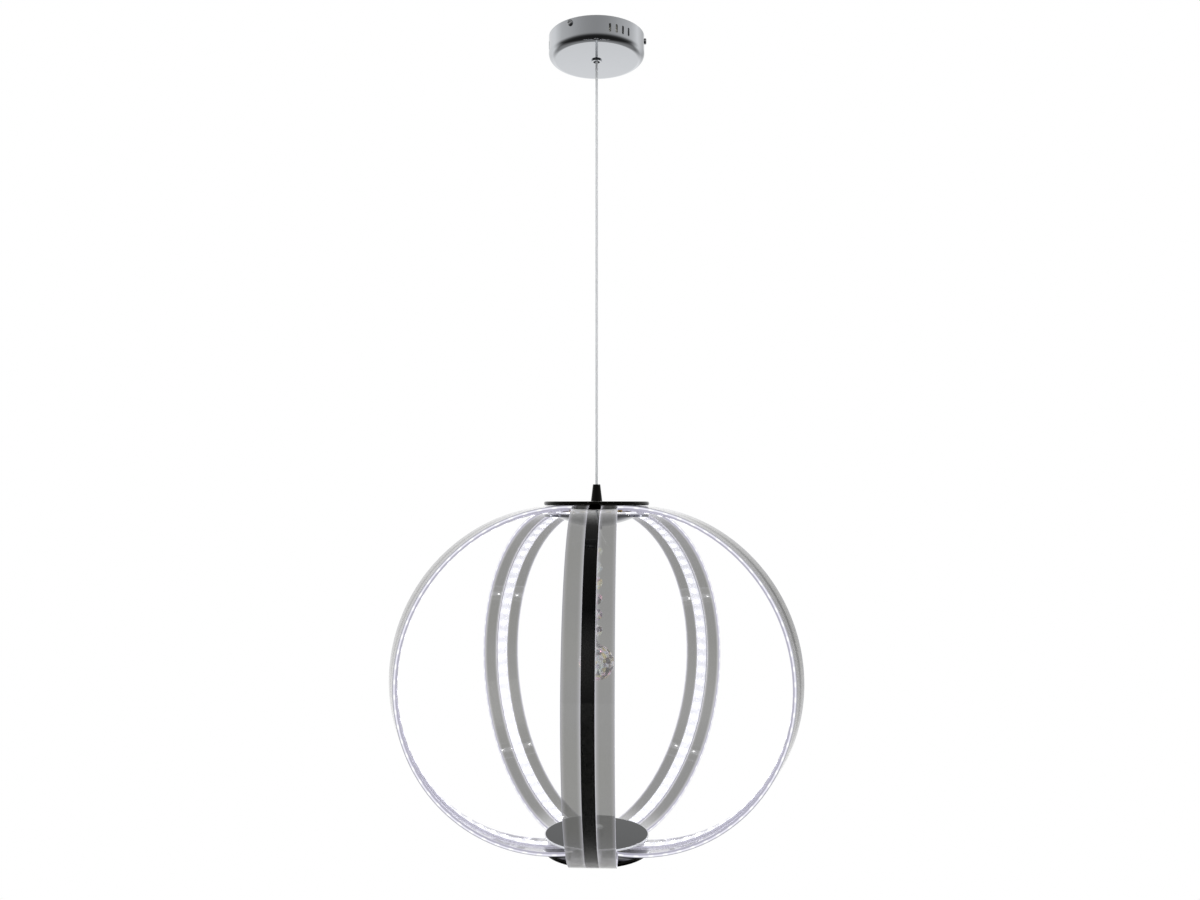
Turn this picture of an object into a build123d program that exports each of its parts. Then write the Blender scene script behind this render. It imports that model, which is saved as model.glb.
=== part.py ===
from build123d import *
import os
from math import cos, floor, pi, radians, sin, sqrt, tan

# Globe pendant light: a round ceiling canopy, a thin clear cable, and a globe of five bent
# acrylic bands lit by LED strips, with a string of crystal hanging inside it.
# Millimetres. The origin is the middle of the canopy on the ceiling plane, +Z is up, the lamp
# hangs towards -Z and the first band faces -Y.

# Overall sizes
band_count = 5
globe_height = 420.0
pendant_drop = 544.0
front_direction = -90.0

# Acrylic bands
band_width = 54.0
band_thickness = 5.0
tab_end_radius = 14.0
tab_gap = 1.0

# LED strips on the inner faces of the bands
strip_width = 14.0
strip_thickness = 1.5
strip_end_radius = 20.0
glue_gap = 0.1
board_width = 15.2
board_thickness = 0.6
chip_size = 5.0
chip_height = 1.5
chip_gap = 0.05
chip_pitch = 16.6

# Hub discs and covers
hub_diameter = 130.0
hub_thickness = 5.0
hub_rim_radius = 2.0
bend_inset = 25.0
cover_clearance = 0.5
dome_diameter = 104.0
dome_depth = 12.5
dome_sheet = 1.6
dome_rim_height = 3.0
dome_rim_width = 2.0
bottom_cover_diameter = 128.0
bottom_cover_thickness = 2.0
bottom_cover_chamfer = 0.5
bottom_cover_room = 2.8

# Fasteners of the tabs
washer_radius = 4.5
washer_thickness = 0.8
tab_screw_radius = 1.95
tab_screw_head_radius = 3.75
tab_screw_head_height = 2.4
tab_screw_grip = 3.8
tab_screw_margin = 0.5
screw_hole_clearance = 0.25
thread_clearance = 0.05
thread_end_gap = 0.3
nut_sides = 6

# Cross recesses of the pan heads, as shares of their head
recess_length_share = 1.2
recess_width_share = 0.28
recess_depth_share = 0.45
head_round_share = 0.55

# Threaded nipple through the top hub
nipple_radius = 5.0
nipple_bore_radius = 2.5
nipple_grip = 8.5
pass_clearance = 0.2
hub_nut_flats = 17.0
hub_nut_thickness = 5.0
hub_spacer_wall = 2.8

# Leads from the strips to their splices in the dome
lead_radius = 0.8
lead_drop_radius = 14.0
lead_run = 5.0
lead_bend_radius = 4.5
splice_radius = 2.2
splice_clearance = 0.5

# Hook finial under the dome
finial_radius = 7.0
finial_height = 3.8
finial_edge_radius = 1.2
finial_grip = 3.0
eye_radius = 3.0
eye_wire_radius = 0.8

# Bottom hub bolt
stud_radius = 4.0
stud_head_radius = 7.5
stud_grip = 4.7
stud_sink_angle = 90.0
bottom_spacer_wall = 2.8
cap_nut_radius = 8.5
cap_nut_height = 7.0
cap_nut_edge_radius = 2.5

# Suspension cable and its grip on the globe
cable_radius = 1.5
grip_height = 21.0
grip_top_radius = 4.55
grip_base_radius = 7.1
grip_edge_radius = 0.4
grip_pivot_height = 14.0
grip_socket_depth = 2.5
grip_mouth_radius = 3.2
cable_clearance = 0.2
turn_gap = 0.2

# Cable exit in the canopy
ball_radius = 4.0
seat_clearance = 0.25
throat_radius = 2.75
seat_mid_angle = 30.0
mouth_radius = 4.0
bushing_wall = 1.2
bushing_flange_radius = 6.5
bushing_flange_thickness = 1.6
bushing_nut_flats = 16.0
bushing_nut_thickness = 3.0
ball_lift = 1.8
bushing_rim_lift = 3.5

# Canopy cup
canopy_radius = 59.0
canopy_height = 28.0
canopy_wall = 1.2
canopy_edge_radius = 8.0
vent_groups = 3
vents_per_group = 4
vent_first_direction = -60.0
vent_pitch_angle = 8.2
vent_width = 2.6
vent_length = 10.0
vent_drop = 13.5

# Ceiling plate and the side screws that hold the cup on it
plate_radius = 50.0
plate_thickness = 1.5
ear_count = 3
ear_first_direction = -120.0
ear_gap = 1.6
ear_width = 12.0
ear_drop = 11.0
side_screw_radius = 1.95
side_screw_head_radius = 3.5
side_screw_head_height = 2.4
side_screw_drop = 5.0
side_screw_tail = 2.0
slot_spacing = 64.0
slot_length = 18.0
slot_width = 5.0
wire_hole_radius = 8.0
wire_hole_x = -26.0
wire_hole_y = -22.0

# LED driver and mains terminal block under the plate
driver_length = 70.0
driver_width = 30.0
driver_height = 18.0
driver_y = 24.5
driver_edge_radius = 2.0
driver_ear_length = 10.0
driver_ear_width = 16.0
driver_ear_thickness = 3.0
block_length = 28.0
block_width = 18.0
block_base_height = 4.0
block_height = 14.0
block_x = 18.0
block_y = -29.0
block_poles = 3
block_pole_gap = 1.2
block_wire_radius = 1.8
block_edge_radius = 0.8
plate_screw_radius = 1.45
plate_screw_head_radius = 2.8
plate_screw_head_height = 2.0
mains_lead_radius = 2.5
mains_lead_x = 14.0
mains_lead_drop = 9.0
output_lead_drop = 11.0
output_lead_bend_radius = 5.5
output_lead_gap = 0.4

# Crystal string
hook_loop_radius = 2.6
hook_wire_radius = 0.7
hook_turn = 250.0
link_gap = 0.2
ring_radius = 4.8
ring_wire_radius = 0.4
bead_count = 6
bead_sides = 8
bead_width = 14.0
bead_table_width = 6.0
bead_thickness = 5.0
bead_edge_thickness = 1.6
bead_hole_offset = 5.0
bead_hole_radius = 0.8
ball_diameter = 45.0
ball_sides = 16
ball_rows = 10
ball_pin_radius = 0.7
ball_pin_length = 9.0
ball_pin_clearance = 0.1
ball_cap_radius = 4.6
ball_cap_height = 1.2
ball_eye_radius = 1.6
ball_eye_wire_radius = 0.5

# Heights, from the ceiling down
canopy_floor_z = -canopy_height
hub_top_z = canopy_floor_z - pendant_drop
band_top_z = hub_top_z - hub_thickness
band_mid_z = band_top_z - globe_height / 2
band_bottom_z = band_top_z - globe_height
hub_bottom_z = band_bottom_z - hub_thickness

# Sizes that follow from the ones above
band_radius = globe_height / 2
hub_radius = hub_diameter / 2
band_centre = hub_radius - bend_inset
globe_diameter = 2 * (band_centre + band_radius)
half_pitch = radians(180 / band_count)
band_angles = [front_direction + 360 / band_count * index for index in range(band_count)]
led_stack = glue_gap + strip_thickness + board_thickness + chip_gap + chip_height
stack_radius = band_radius - band_thickness - led_stack
rim_drop = stack_radius - sqrt(stack_radius**2 - bend_inset**2)
hub_gap = led_stack + rim_drop + cover_clearance
dome_top_z = band_top_z - band_thickness - hub_gap
bottom_cover_z = band_bottom_z + band_thickness + hub_gap + bottom_cover_room
wedge_apex = tab_gap / 2 / sin(half_pitch)
tab_screw_place = band_centre - washer_radius - tab_screw_margin
tab_half_width = (tab_screw_place - wedge_apex) * tan(half_pitch)
tab_screw_offset = (strip_width / 2 + tab_half_width) / 2
tab_points = [
    Vector(tab_screw_place, side * tab_screw_offset).rotate(Axis.Z, angle)
    for angle in band_angles
    for side in (-1, 1)
]
os.makedirs("parts", exist_ok=True)


def save(piece, name):
    """Labels a finished piece and writes its STEP file."""
    piece.part.label = name
    export_step(piece.part, f"parts/{name}.step")


def section_plane(angle):
    """The upright plane through the axis at an angle: x runs outwards, y runs up."""
    outward = Vector(1, 0, 0).rotate(Axis.Z, angle)
    return Plane((0, 0, 0), x_dir=outward, z_dir=outward.cross(Vector(0, 0, 1)))


def wall_plane(angle, radius, z):
    """A plane that faces outwards at a radius and height: x runs round, y runs up."""
    outward = Vector(1, 0, 0).rotate(Axis.Z, angle)
    centre = outward * radius + Vector(0, 0, z)
    return Plane(centre, x_dir=Vector(0, 0, 1).cross(outward), z_dir=outward)


def upward(point, z):
    """A plane that faces up at a point of the plan."""
    return Plane((point.X, point.Y, z), z_dir=(0, 0, 1))


def downward(point, z):
    """A plane that faces down at a point of the plan."""
    return Plane((point.X, point.Y, z), z_dir=(0, 0, -1))


def pan_screws(seats, shank_radius, shank_length, head_radius, head_height):
    """Cross-recessed pan-head screws, each with the seat of its head on a plane."""
    with BuildPart() as screws:
        with BuildSketch(*seats):
            Circle(head_radius)
        extrude(amount=head_height)
        crowns = [
            edge
            for seat in seats
            for edge in screws.edges().filter_by(GeomType.CIRCLE)
            if (edge.arc_center - seat.offset(head_height).origin).length < head_height / 2
        ]
        fillet(crowns, head_height * head_round_share)
        with BuildSketch(*seats):
            Circle(shank_radius)
        extrude(amount=-shank_length)
        with BuildSketch(*[seat.offset(head_height) for seat in seats]):
            Rectangle(head_radius * recess_length_share, head_radius * recess_width_share)
            Rectangle(head_radius * recess_width_share, head_radius * recess_length_share)
        extrude(amount=-head_height * recess_depth_share, mode=Mode.SUBTRACT)
    return screws


def tube(outer, inner, low_z, high_z):
    """A round tube on the lamp's axis."""
    with BuildPart() as ring:
        with BuildSketch(Plane.XY.offset(low_z)):
            Circle(outer)
            Circle(inner, mode=Mode.SUBTRACT)
        extrude(amount=high_z - low_z)
    return ring


def hex_nut(flats, bore_radius, low_z, height):
    """A hexagon nut on the lamp's axis."""
    with BuildPart() as nut:
        with BuildSketch(Plane.XY.offset(low_z)):
            RegularPolygon(flats / 2, nut_sides, major_radius=False)
            Circle(bore_radius, mode=Mode.SUBTRACT)
        extrude(amount=height)
    return nut


def bent_strip(angle, width, inset, thickness, end_radius):
    """A flat strip bent to a half circle, with straight ends that run towards the axis."""
    outer = band_radius - inset
    inner = outer - thickness
    with BuildPart() as strip:
        with BuildSketch(section_plane(angle)):
            with BuildLine():
                for side in (1, -1):
                    Polyline(
                        (band_centre, band_mid_z + side * inner),
                        (end_radius, band_mid_z + side * inner),
                        (end_radius, band_mid_z + side * outer),
                        (band_centre, band_mid_z + side * outer),
                    )
                CenterArc((band_centre, band_mid_z), outer, -90, 180)
                CenterArc((band_centre, band_mid_z), inner, -90, 180)
            make_face()
        extrude(amount=width / 2, both=True)
    return strip


# Canopy cup: a spun cup with vent slots, open to the ceiling
bushing_radius = ball_radius + seat_clearance + bushing_wall
ear_radius = canopy_radius - canopy_wall - ear_gap
ear_angles = [ear_first_direction + 360 / ear_count * index for index in range(ear_count)]
vent_angles = [
    vent_first_direction
    + 360 / vent_groups * group
    + vent_pitch_angle * (index - (vents_per_group - 1) / 2)
    for group in range(vent_groups)
    for index in range(vents_per_group)
]
with BuildPart() as canopy_cup:
    with BuildSketch(Plane.XY.offset(canopy_floor_z)):
        Circle(canopy_radius)
    extrude(amount=canopy_height)
    fillet(canopy_cup.edges().sort_by(Axis.Z)[0], canopy_edge_radius)
    offset(amount=-canopy_wall, openings=canopy_cup.faces().sort_by(Axis.Z)[-1])
    with BuildSketch(Plane.XY.offset(canopy_floor_z)):
        Circle(bushing_radius + thread_clearance)
    extrude(amount=canopy_wall, mode=Mode.SUBTRACT)
    with BuildSketch(*[wall_plane(angle, canopy_radius, -vent_drop) for angle in vent_angles]):
        SlotOverall(vent_length, vent_width, rotation=90)
    extrude(amount=2 * canopy_wall, both=True, mode=Mode.SUBTRACT)
    with BuildSketch(*[wall_plane(angle, canopy_radius, -side_screw_drop) for angle in ear_angles]):
        Circle(side_screw_radius + screw_hole_clearance)
    extrude(amount=2 * canopy_wall, both=True, mode=Mode.SUBTRACT)
save(canopy_cup, "canopy_cup")

# Ceiling plate: slotted for two ceiling screws, with three ears turned down inside the cup
driver_screw_x = driver_length / 2 + driver_ear_length / 2
plate_screw_points = [
    Vector(-driver_screw_x, driver_y),
    Vector(driver_screw_x, driver_y),
    Vector(block_x, block_y),
]
with BuildPart() as ceiling_plate:
    with BuildSketch(Plane.XY.offset(-plate_thickness)):
        Circle(plate_radius)
        with PolarLocations(ear_radius / 2, ear_count, start_angle=ear_first_direction):
            Rectangle(ear_radius, ear_width)
        with Locations((-slot_spacing / 2, 0), (slot_spacing / 2, 0)):
            SlotOverall(slot_length, slot_width, mode=Mode.SUBTRACT)
        with Locations((wire_hole_x, wire_hole_y)):
            Circle(wire_hole_radius, mode=Mode.SUBTRACT)
        with Locations(*plate_screw_points):
            Circle(plate_screw_radius + thread_clearance, mode=Mode.SUBTRACT)
    extrude(amount=plate_thickness)
    with BuildSketch(*[wall_plane(angle, ear_radius, -ear_drop / 2) for angle in ear_angles]):
        Rectangle(ear_width, ear_drop)
    extrude(amount=-plate_thickness)
    with BuildSketch(*[wall_plane(angle, ear_radius, -side_screw_drop) for angle in ear_angles]):
        Circle(side_screw_radius + thread_clearance)
    extrude(amount=-plate_thickness, mode=Mode.SUBTRACT)
save(ceiling_plate, "ceiling_plate")

canopy_side_screws = pan_screws(
    [wall_plane(angle, canopy_radius, -side_screw_drop) for angle in ear_angles],
    side_screw_radius,
    canopy_wall + ear_gap + plate_thickness + side_screw_tail,
    side_screw_head_radius,
    side_screw_head_height,
)
save(canopy_side_screws, "canopy_side_screws")

# LED driver: a moulded box with two fixing ears against the plate
with BuildPart() as led_driver:
    with BuildSketch(Plane((0, driver_y, -plate_thickness))):
        RectangleRounded(driver_length, driver_width, driver_edge_radius)
    extrude(amount=-driver_height)
    fillet(led_driver.faces().sort_by(Axis.Z)[0].edges(), driver_edge_radius / 2)
    with BuildSketch(Plane((0, driver_y, -plate_thickness))):
        Rectangle(driver_length + 2 * driver_ear_length, driver_ear_width)
        with Locations((-driver_screw_x, 0), (driver_screw_x, 0)):
            Circle(plate_screw_radius + screw_hole_clearance, mode=Mode.SUBTRACT)
    extrude(amount=-driver_ear_thickness)
save(led_driver, "led_driver")

# Terminal block: a moulded base with one raised barrel for each pole
pole_pitch = block_length / block_poles
with BuildPart() as terminal_block:
    with BuildSketch(Plane((block_x, block_y, -plate_thickness))):
        RectangleRounded(block_length, block_width, block_edge_radius)
    extrude(amount=-block_base_height)
    with BuildSketch(Plane((block_x, block_y, -plate_thickness - block_base_height))):
        with GridLocations(pole_pitch, 0, block_poles, 1):
            Rectangle(pole_pitch - block_pole_gap, block_width)
    extrude(amount=block_base_height - block_height)
    barrel_z = -plate_thickness - (block_base_height + block_height) / 2
    with BuildSketch(Plane((block_x, block_y, barrel_z), x_dir=(1, 0, 0), z_dir=(0, -1, 0))):
        with GridLocations(pole_pitch, 0, block_poles, 1):
            Circle(block_wire_radius)
    extrude(amount=block_width / 2, mode=Mode.SUBTRACT)
    with BuildSketch(Plane((block_x, block_y, -plate_thickness - block_height))):
        Circle(plate_screw_head_radius + screw_hole_clearance)
    extrude(amount=block_height - block_base_height, mode=Mode.SUBTRACT)
    with BuildSketch(Plane((block_x, block_y, -plate_thickness))):
        Circle(plate_screw_radius + screw_hole_clearance)
    extrude(amount=-block_base_height, mode=Mode.SUBTRACT)
save(terminal_block, "terminal_block")

plate_screw_seats = [
    downward(point, -plate_thickness - thickness)
    for point, thickness in zip(
        plate_screw_points, (driver_ear_thickness, driver_ear_thickness, block_base_height)
    )
]
driver_screws = pan_screws(
    plate_screw_seats[:2],
    plate_screw_radius,
    driver_ear_thickness + plate_thickness,
    plate_screw_head_radius,
    plate_screw_head_height,
)
save(driver_screws, "driver_screws")
terminal_screw = pan_screws(
    plate_screw_seats[2:],
    plate_screw_radius,
    block_base_height + plate_thickness,
    plate_screw_head_radius,
    plate_screw_head_height,
)
save(terminal_screw, "terminal_screw")

# Mains lead, straight from the driver to the terminal block
driver_side_y = driver_y - driver_width / 2
block_side_y = block_y + block_width / 2
with BuildPart() as mains_lead:
    with BuildSketch(Plane((mains_lead_x, driver_side_y, -mains_lead_drop), z_dir=(0, -1, 0))):
        Circle(mains_lead_radius)
    extrude(amount=driver_side_y - block_side_y)
save(mains_lead, "mains_lead")

# Cable exit: a flanged bushing with a ball seat above a flared mouth
floor_inner_z = canopy_floor_z + canopy_wall
flange_z = canopy_floor_z - bushing_flange_thickness
swing_z = floor_inner_z + bushing_nut_thickness + ball_lift
bushing_top_z = swing_z + bushing_rim_lift
seat_radius = ball_radius + seat_clearance
throat_z = swing_z - sqrt(seat_radius**2 - throat_radius**2)
seat_mid = Vector(seat_radius, 0).rotate(Axis.Z, -seat_mid_angle)
with BuildPart() as cable_bushing:
    with BuildSketch(Plane.XZ):
        with BuildLine():
            ThreePointArc(
                (throat_radius, throat_z),
                (seat_mid.X, swing_z + seat_mid.Y),
                (seat_radius, swing_z),
            )
            Polyline(
                (seat_radius, swing_z),
                (seat_radius, bushing_top_z),
                (bushing_radius, bushing_top_z),
                (bushing_radius, canopy_floor_z),
                (bushing_flange_radius, canopy_floor_z),
                (bushing_flange_radius, flange_z),
                (mouth_radius, flange_z),
                (throat_radius, throat_z),
            )
        make_face()
    revolve(axis=Axis.Z)
save(cable_bushing, "cable_bushing")

bushing_nut = hex_nut(
    bushing_nut_flats, bushing_radius + thread_clearance, floor_inner_z, bushing_nut_thickness
)
save(bushing_nut, "bushing_nut")

# Ball stop on the upper end of the cable
with BuildPart() as cable_ball:
    with Locations((0, 0, swing_z)):
        Sphere(ball_radius)
        Cylinder(cable_radius + thread_clearance, 2 * ball_radius, mode=Mode.SUBTRACT)
save(cable_ball, "cable_ball")

# Suspension cable: straight and taut, with a round nose in the socket of the grip
rock_z = hub_top_z + grip_pivot_height
cable_top_z = swing_z + sqrt(ball_radius**2 - cable_radius**2)
with BuildPart() as suspension_cable:
    with BuildSketch(Plane.XY.offset(rock_z)):
        Circle(cable_radius)
    extrude(amount=cable_top_z - rock_z)
    with Locations((0, 0, rock_z)):
        Sphere(cable_radius)
save(suspension_cable, "suspension_cable")
cable_length = cable_top_z - rock_z + cable_radius
cable_free_length = flange_z - hub_top_z - grip_height
print(f"cable {cable_length:.1f} mm long, {cable_free_length:.1f} mm free")

# Output lead, from above the ball to the side of the driver
output_start_z = swing_z + ball_radius + output_lead_gap
with BuildPart() as output_lead:
    with BuildLine() as output_path:
        FilletPolyline(
            (0, 0, output_start_z),
            (0, 0, -output_lead_drop),
            (0, driver_side_y, -output_lead_drop),
            radius=output_lead_bend_radius,
        )
    with BuildSketch(Plane.XY.offset(output_start_z)):
        Circle(cable_radius)
    sweep(path=output_path.line)
save(output_lead, "output_lead")

# Cone grip: the cable's socket above, the thread of the nipple below
grip_base_z = hub_top_z + turn_gap
grip_top_z = hub_top_z + grip_height
socket_radius = cable_radius + cable_clearance
with BuildPart() as grip_cone:
    with BuildSketch(Plane.XZ):
        Polygon(
            (0, grip_base_z),
            (grip_base_radius, grip_base_z),
            (grip_top_radius, grip_top_z),
            (0, grip_top_z),
            align=None,
        )
    revolve(axis=Axis.Z)
    fillet(grip_cone.edges().sort_by(Axis.Z)[-1], grip_edge_radius)
    with BuildSketch(Plane.XY.offset(grip_base_z)):
        Circle(nipple_radius + thread_clearance)
    extrude(amount=nipple_grip + thread_end_gap - turn_gap, mode=Mode.SUBTRACT)
    with BuildSketch(Plane.XZ):
        Polygon(
            (0, rock_z - grip_socket_depth),
            (socket_radius, rock_z - grip_socket_depth),
            (socket_radius, rock_z),
            (grip_mouth_radius, grip_top_z),
            (0, grip_top_z),
            align=None,
        )
    revolve(axis=Axis.Z, mode=Mode.SUBTRACT)
save(grip_cone, "grip_cone")


def hub_disc(low_z, thread_seats):
    """A round hub disc with rounded rims and blind threads for the screws of the tabs."""
    with BuildPart() as disc:
        with BuildSketch(Plane.XY.offset(low_z)):
            Circle(hub_radius)
        extrude(amount=hub_thickness)
        fillet(disc.edges(), hub_rim_radius)
        with BuildSketch(*thread_seats):
            Circle(tab_screw_radius + thread_clearance)
        extrude(amount=-tab_screw_grip - thread_end_gap, mode=Mode.SUBTRACT)
    return disc


# Top hub: disc, nipple, nut, spacer and the domed cover
plain_top_disc = hub_disc(band_top_z, [downward(point, band_top_z) for point in tab_points])
with BuildPart() as top_disc:
    add(plain_top_disc.part)
    with BuildSketch(Plane.XY.offset(band_top_z)):
        Circle(nipple_radius + pass_clearance)
    extrude(amount=hub_thickness, mode=Mode.SUBTRACT)
save(top_disc, "top_disc")

dome_radius = dome_diameter / 2
dome_curve = (dome_radius**2 + dome_depth**2) / (2 * dome_depth)


def dome_z(radius):
    """Height of the inner face of the dome at a radius."""
    return dome_top_z - dome_depth + dome_curve - sqrt(dome_curve**2 - radius**2)


nipple_hole_radius = nipple_radius + pass_clearance
with BuildPart() as dome_cover:
    with BuildSketch(Plane.XZ):
        with BuildLine():
            ThreePointArc(
                (dome_radius, dome_top_z),
                (dome_radius / 2, dome_z(dome_radius / 2)),
                (nipple_hole_radius, dome_z(nipple_hole_radius)),
            )
            Line(
                (nipple_hole_radius, dome_z(nipple_hole_radius)),
                (nipple_hole_radius, dome_z(nipple_hole_radius) - dome_sheet),
            )
            ThreePointArc(
                (nipple_hole_radius, dome_z(nipple_hole_radius) - dome_sheet),
                (dome_radius / 2, dome_z(dome_radius / 2) - dome_sheet),
                (dome_radius, dome_top_z - dome_sheet),
            )
            Polyline(
                (dome_radius, dome_top_z - dome_sheet),
                (hub_radius - dome_rim_width, dome_top_z - dome_sheet),
                (hub_radius - dome_rim_width, dome_top_z - dome_rim_height),
                (hub_radius, dome_top_z - dome_rim_height),
                (hub_radius, dome_top_z),
                (dome_radius, dome_top_z),
            )
        make_face()
    revolve(axis=Axis.Z)
save(dome_cover, "dome_cover")

hub_nut = hex_nut(
    hub_nut_flats, nipple_radius + thread_clearance, band_top_z - hub_nut_thickness, hub_nut_thickness
)
save(hub_nut, "hub_nut")

hub_spacer_radius = nipple_hole_radius + hub_spacer_wall
hub_spacer = tube(
    hub_spacer_radius, nipple_hole_radius, dome_z(hub_spacer_radius), band_top_z - hub_nut_thickness
)
save(hub_spacer, "hub_spacer")

finial_top_z = dome_z(nipple_hole_radius) - dome_sheet
finial_bottom_z = finial_top_z - finial_height
threaded_nipple = tube(
    nipple_radius, nipple_bore_radius, finial_top_z - finial_grip + thread_end_gap, hub_top_z + nipple_grip
)
save(threaded_nipple, "threaded_nipple")

# Hook finial: closes the dome and carries the eye for the crystal string
eye_z = finial_bottom_z - eye_radius + eye_wire_radius / 2
with BuildPart() as hook_finial:
    with BuildSketch(Plane.XY.offset(finial_bottom_z)):
        Circle(finial_radius)
    extrude(amount=finial_height)
    fillet(hook_finial.edges().sort_by(Axis.Z)[0], finial_edge_radius)
    with BuildSketch(Plane.XY.offset(finial_top_z)):
        Circle(nipple_radius + thread_clearance)
    extrude(amount=-finial_grip, mode=Mode.SUBTRACT)
    with Locations(Plane((0, 0, eye_z), z_dir=(1, 0, 0))):
        Torus(eye_radius, eye_wire_radius)
save(hook_finial, "hook_finial")

# Bottom hub: disc, centre bolt, spacer, mirror cover and cap nut
stud_hole_radius = stud_radius + pass_clearance
stud_top_z = bottom_cover_z + bottom_cover_thickness + stud_grip
plain_bottom_disc = hub_disc(hub_bottom_z, [upward(point, band_bottom_z) for point in tab_points])
with BuildPart() as bottom_disc:
    add(plain_bottom_disc.part)
    with Locations(Plane((0, 0, hub_bottom_z), z_dir=(0, 0, -1))):
        CounterSinkHole(stud_hole_radius, stud_head_radius + pass_clearance, hub_thickness, stud_sink_angle)
save(bottom_disc, "bottom_disc")

with BuildPart() as centre_bolt:
    with BuildSketch(Plane.XZ):
        Polygon(
            (0, hub_bottom_z),
            (stud_head_radius, hub_bottom_z),
            (stud_radius, hub_bottom_z + stud_head_radius - stud_radius),
            (stud_radius, stud_top_z),
            (0, stud_top_z),
            align=None,
        )
    revolve(axis=Axis.Z)
save(centre_bolt, "centre_bolt")

bottom_spacer = tube(
    stud_hole_radius + bottom_spacer_wall, stud_hole_radius, band_bottom_z, bottom_cover_z
)
save(bottom_spacer, "bottom_spacer")

with BuildPart() as bottom_cover:
    with BuildSketch(Plane.XY.offset(bottom_cover_z)):
        Circle(bottom_cover_diameter / 2)
        Circle(stud_hole_radius, mode=Mode.SUBTRACT)
    extrude(amount=bottom_cover_thickness)
    chamfer(bottom_cover.edges().group_by(Axis.Z)[-1].sort_by(SortBy.LENGTH)[-1], bottom_cover_chamfer)
save(bottom_cover, "bottom_cover")

with BuildPart() as cap_nut:
    with BuildSketch(Plane.XY.offset(bottom_cover_z + bottom_cover_thickness)):
        Circle(cap_nut_radius)
    extrude(amount=cap_nut_height)
    fillet(cap_nut.edges().sort_by(Axis.Z)[-1], cap_nut_edge_radius)
    with BuildSketch(Plane.XY.offset(bottom_cover_z + bottom_cover_thickness)):
        Circle(stud_radius + thread_clearance)
    extrude(amount=stud_grip + thread_end_gap, mode=Mode.SUBTRACT)
save(cap_nut, "cap_nut")

# Screws and washers that hold the tabs to the discs, from the inner side
inner_seats = {
    "top": [downward(point, band_top_z - band_thickness) for point in tab_points],
    "bottom": [upward(point, band_bottom_z + band_thickness) for point in tab_points],
}
for hub_name, seats in inner_seats.items():
    with BuildPart() as tab_washers:
        with BuildSketch(*seats):
            Circle(washer_radius)
            Circle(tab_screw_radius + screw_hole_clearance, mode=Mode.SUBTRACT)
        extrude(amount=washer_thickness)
    save(tab_washers, f"{hub_name}_tab_washers")
    tab_screws = pan_screws(
        [seat.offset(washer_thickness) for seat in seats],
        tab_screw_radius,
        washer_thickness + band_thickness + tab_screw_grip,
        tab_screw_head_radius,
        tab_screw_head_height,
    )
    save(tab_screws, f"{hub_name}_tab_screws")

# Bands of clear acrylic, with the ends of the tabs cut to a point so that five meet in a hub
far = globe_diameter
for number, angle in enumerate(band_angles, start=1):
    plan = Plane((0, 0, band_bottom_z), x_dir=Vector(1, 0, 0).rotate(Axis.Z, angle), z_dir=(0, 0, 1))
    plain_band = bent_strip(angle, band_width, 0, band_thickness, tab_end_radius)
    with BuildPart() as acrylic_band:
        add(plain_band.part)
        with BuildSketch(plan):
            Polygon(
                (wedge_apex, 0),
                (far, -(far - wedge_apex) * tan(half_pitch)),
                (far, (far - wedge_apex) * tan(half_pitch)),
                align=None,
            )
        extrude(amount=globe_height, mode=Mode.INTERSECT)
        with BuildSketch(plan):
            with Locations((tab_screw_place, -tab_screw_offset), (tab_screw_place, tab_screw_offset)):
                Circle(tab_screw_radius + screw_hole_clearance)
        extrude(amount=globe_height, mode=Mode.SUBTRACT)
    save(acrylic_band, f"acrylic_band_{number}")

# LED strips: a mirror backing, a white board and the LED chips, on the inner face of each band
board_inset = band_thickness + glue_gap + strip_thickness
chip_seat_radius = band_radius - board_inset - board_thickness - chip_gap
chip_count = floor(pi * chip_seat_radius / chip_pitch)
chip_angles = [90 - 180 * (index + 0.5) / chip_count for index in range(chip_count)]
for number, angle in enumerate(band_angles, start=1):
    led_backing = bent_strip(
        angle, strip_width, band_thickness + glue_gap, strip_thickness, strip_end_radius
    )
    save(led_backing, f"led_backing_{number}")
    led_board = bent_strip(angle, board_width, board_inset, board_thickness, strip_end_radius)
    save(led_board, f"led_board_{number}")
    section = section_plane(angle)
    chip_planes = []
    for chip_angle in chip_angles:
        outward = Vector(cos(radians(chip_angle)), sin(radians(chip_angle)), 0)
        seat_point = Vector(band_centre, band_mid_z, 0) + outward * chip_seat_radius
        inward = section.from_local_coords(-outward) - section.origin
        chip_planes.append(
            Plane(section.from_local_coords(seat_point), x_dir=section.z_dir, z_dir=inward)
        )
    with BuildPart() as led_chips:
        with BuildSketch(*chip_planes):
            Rectangle(chip_size, chip_size)
        extrude(amount=chip_height)
    save(led_chips, f"led_chips_{number}")
print(f"{chip_count} chips on each strip")

# Leads from the strip ends, each with its crimped splice inside the dome
lead_z = band_top_z - board_inset
with BuildPart() as strip_leads:
    for angle in band_angles:
        with BuildLine(section_plane(angle)) as lead_path:
            FilletPolyline(
                (strip_end_radius, lead_z),
                (lead_drop_radius, lead_z),
                (lead_drop_radius, lead_z - lead_run),
                radius=lead_bend_radius,
            )
        with BuildSketch(wall_plane(angle, strip_end_radius, lead_z)):
            Circle(lead_radius)
        sweep(path=lead_path.line)
save(strip_leads, "strip_leads")

splice_bottom_z = dome_z(lead_drop_radius + splice_radius) + splice_clearance
with BuildPart() as lead_splices:
    with BuildSketch(Plane.XY.offset(splice_bottom_z)):
        with PolarLocations(lead_drop_radius, band_count, start_angle=front_direction):
            Circle(splice_radius)
    extrude(amount=lead_z - lead_run - splice_bottom_z)
save(lead_splices, "lead_splices")

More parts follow.
